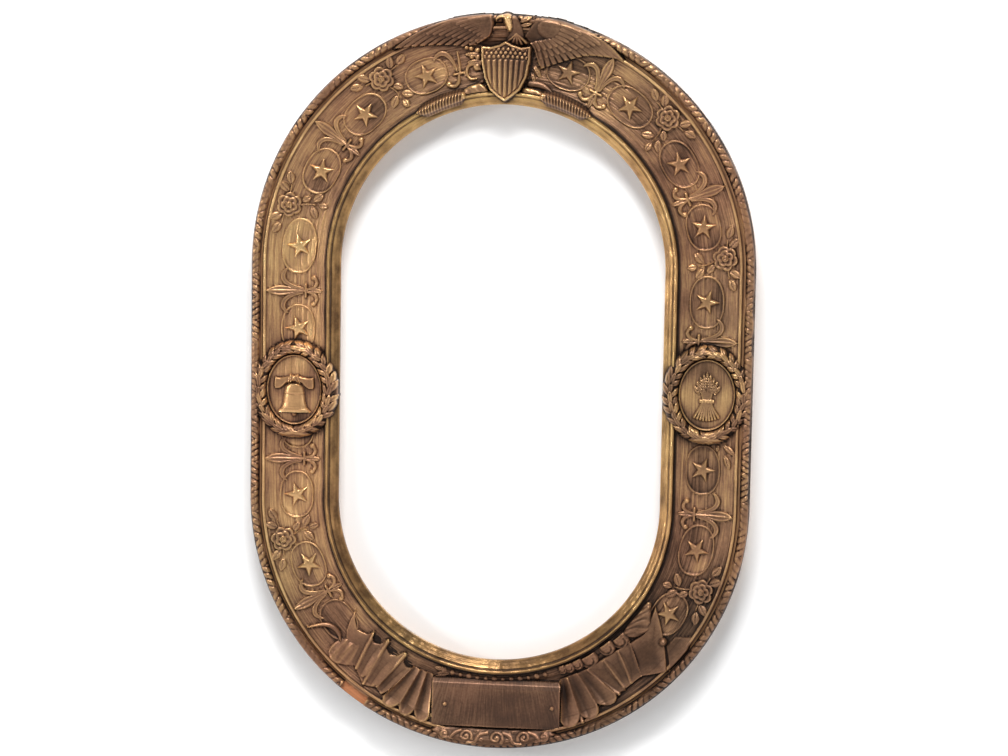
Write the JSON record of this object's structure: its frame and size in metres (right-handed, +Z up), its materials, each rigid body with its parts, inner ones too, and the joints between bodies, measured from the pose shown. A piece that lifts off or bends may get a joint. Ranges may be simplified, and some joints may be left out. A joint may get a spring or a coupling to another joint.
{
  "type": "oval picture frame",
  "caption": "Upright oval picture frame with straight sides and round ends: hollow bronzed moulding with cast ornaments, gilt sight edge, rebate with turn buttons and ring hangers.",
  "frame": {"origin": "centre of the sight opening, on the plane of the glass seat behind the sight lip", "axes": "+Z up along the straight sides, +Y back towards the wall, +X to the right seen from the front"},
  "size_m": [0.4914, 0.0441, 0.72],
  "materials": {
    "core_wood": "bronze-stained softwood, combed grain",
    "spline_wood": "bare hardwood",
    "gilt_liner": "hammered gesso, gilt",
    "bronzed_rim": "carved, bronzed and worn",
    "bronzed_composition": "cast chalk composition, bronzed and worn",
    "bronzed_plate": "cast chalk composition, bronzed, smooth",
    "button_brass": "dull",
    "hanger_steel": "dull"
  },
  "bodies": {
    "frame": {"back_screws": "hanger_steel", "bead_string": "bronzed_composition", "bell": "bronzed_composition", "bottom_arch": "core_wood", "cartouches_left": "bronzed_composition", "cartouches_lower": "bronzed_composition", "cartouches_right": "bronzed_composition", "cartouches_upper": "bronzed_composition", "eagle_body": "bronzed_composition", "eagle_foot": "bronzed_composition", "eagle_left_wing": "bronzed_composition", "eagle_right_wing": "bronzed_composition", "fleur_left_arch": "bronzed_composition", "fleur_left_side": "bronzed_composition", "fleur_lower_left": "bronzed_composition", "fleur_lower_right": "bronzed_composition", "fleur_right_arch": "bronzed_composition", "fleur_right_side": "bronzed_composition", "fleur_upper_left": "bronzed_composition", "fleur_upper_right": "bronzed_composition", "half_fleur": "bronzed_composition", "hanger_straps": "hanger_steel", "joint_splines": "spline_wood", "leaf_border": "bronzed_composition", "leaf_rim_bottom": "bronzed_rim", "leaf_rim_left": "bronzed_rim", "leaf_rim_right": "bronzed_rim", "leaf_rim_top": "bronzed_rim", "left_drapery": "bronzed_composition", "left_medallion": "bronzed_composition", "left_rail": "core_wood", "left_wreath": "bronzed_composition", "nameplate": "bronzed_plate", "nameplate_pins": "bronzed_plate", "ribbed_bundles": "bronzed_composition", "right_drapery": "bronzed_composition", "right_medallion": "bronzed_composition", "right_rail": "core_wood", "right_wreath": "bronzed_composition", "rose_left_arch": "bronzed_composition", "rose_lower_left": "bronzed_composition", "rose_lower_right": "bronzed_composition", "rose_right_arch": "bronzed_composition", "rose_upper_left": "bronzed_composition", "rose_upper_right": "bronzed_composition", "scroll_ornament": "bronzed_composition", "shield": "bronzed_composition", "sight_liner": "gilt_liner", "stars": "bronzed_composition", "top_arch": "core_wood", "wheat_sheaf": "bronzed_composition"},
    "left_d_ring": {"left_d_ring": "hanger_steel"},
    "right_d_ring": {"right_d_ring": "hanger_steel"},
    "turn_button_lower_left": {"turn_button_lower_left": "button_brass"},
    "turn_button_lower_right": {"turn_button_lower_right": "button_brass"},
    "turn_button_upper_left": {"turn_button_upper_left": "button_brass"},
    "turn_button_upper_right": {"turn_button_upper_right": "button_brass"}
  },
  "joints": [
    {"name": "turn_button_upper_left_turn", "type": "hinge", "parent": "frame", "child": "turn_button_upper_left", "pos_m": [-0.17675, 0.01495, 0.09], "axis": [0, 1, 0], "continuous": true},
    {"name": "turn_button_upper_right_turn", "type": "hinge", "parent": "frame", "child": "turn_button_upper_right", "pos_m": [0.17675, 0.01495, 0.09], "axis": [0, 1, 0], "continuous": true},
    {"name": "turn_button_lower_left_turn", "type": "hinge", "parent": "frame", "child": "turn_button_lower_left", "pos_m": [-0.17675, 0.01495, -0.09], "axis": [0, 1, 0], "continuous": true},
    {"name": "turn_button_lower_right_turn", "type": "hinge", "parent": "frame", "child": "turn_button_lower_right", "pos_m": [0.17675, 0.01495, -0.09], "axis": [0, 1, 0], "continuous": true},
    {"name": "left_d_ring_swing", "type": "hinge", "parent": "frame", "child": "left_d_ring", "pos_m": [-0.20475, 0.01703, 0.04], "axis": [1, 0, 0], "range_deg": [-5, 180]},
    {"name": "right_d_ring_swing", "type": "hinge", "parent": "frame", "child": "right_d_ring", "pos_m": [0.20475, 0.01703, 0.04], "axis": [1, 0, 0], "range_deg": [-5, 180]}
  ]
}
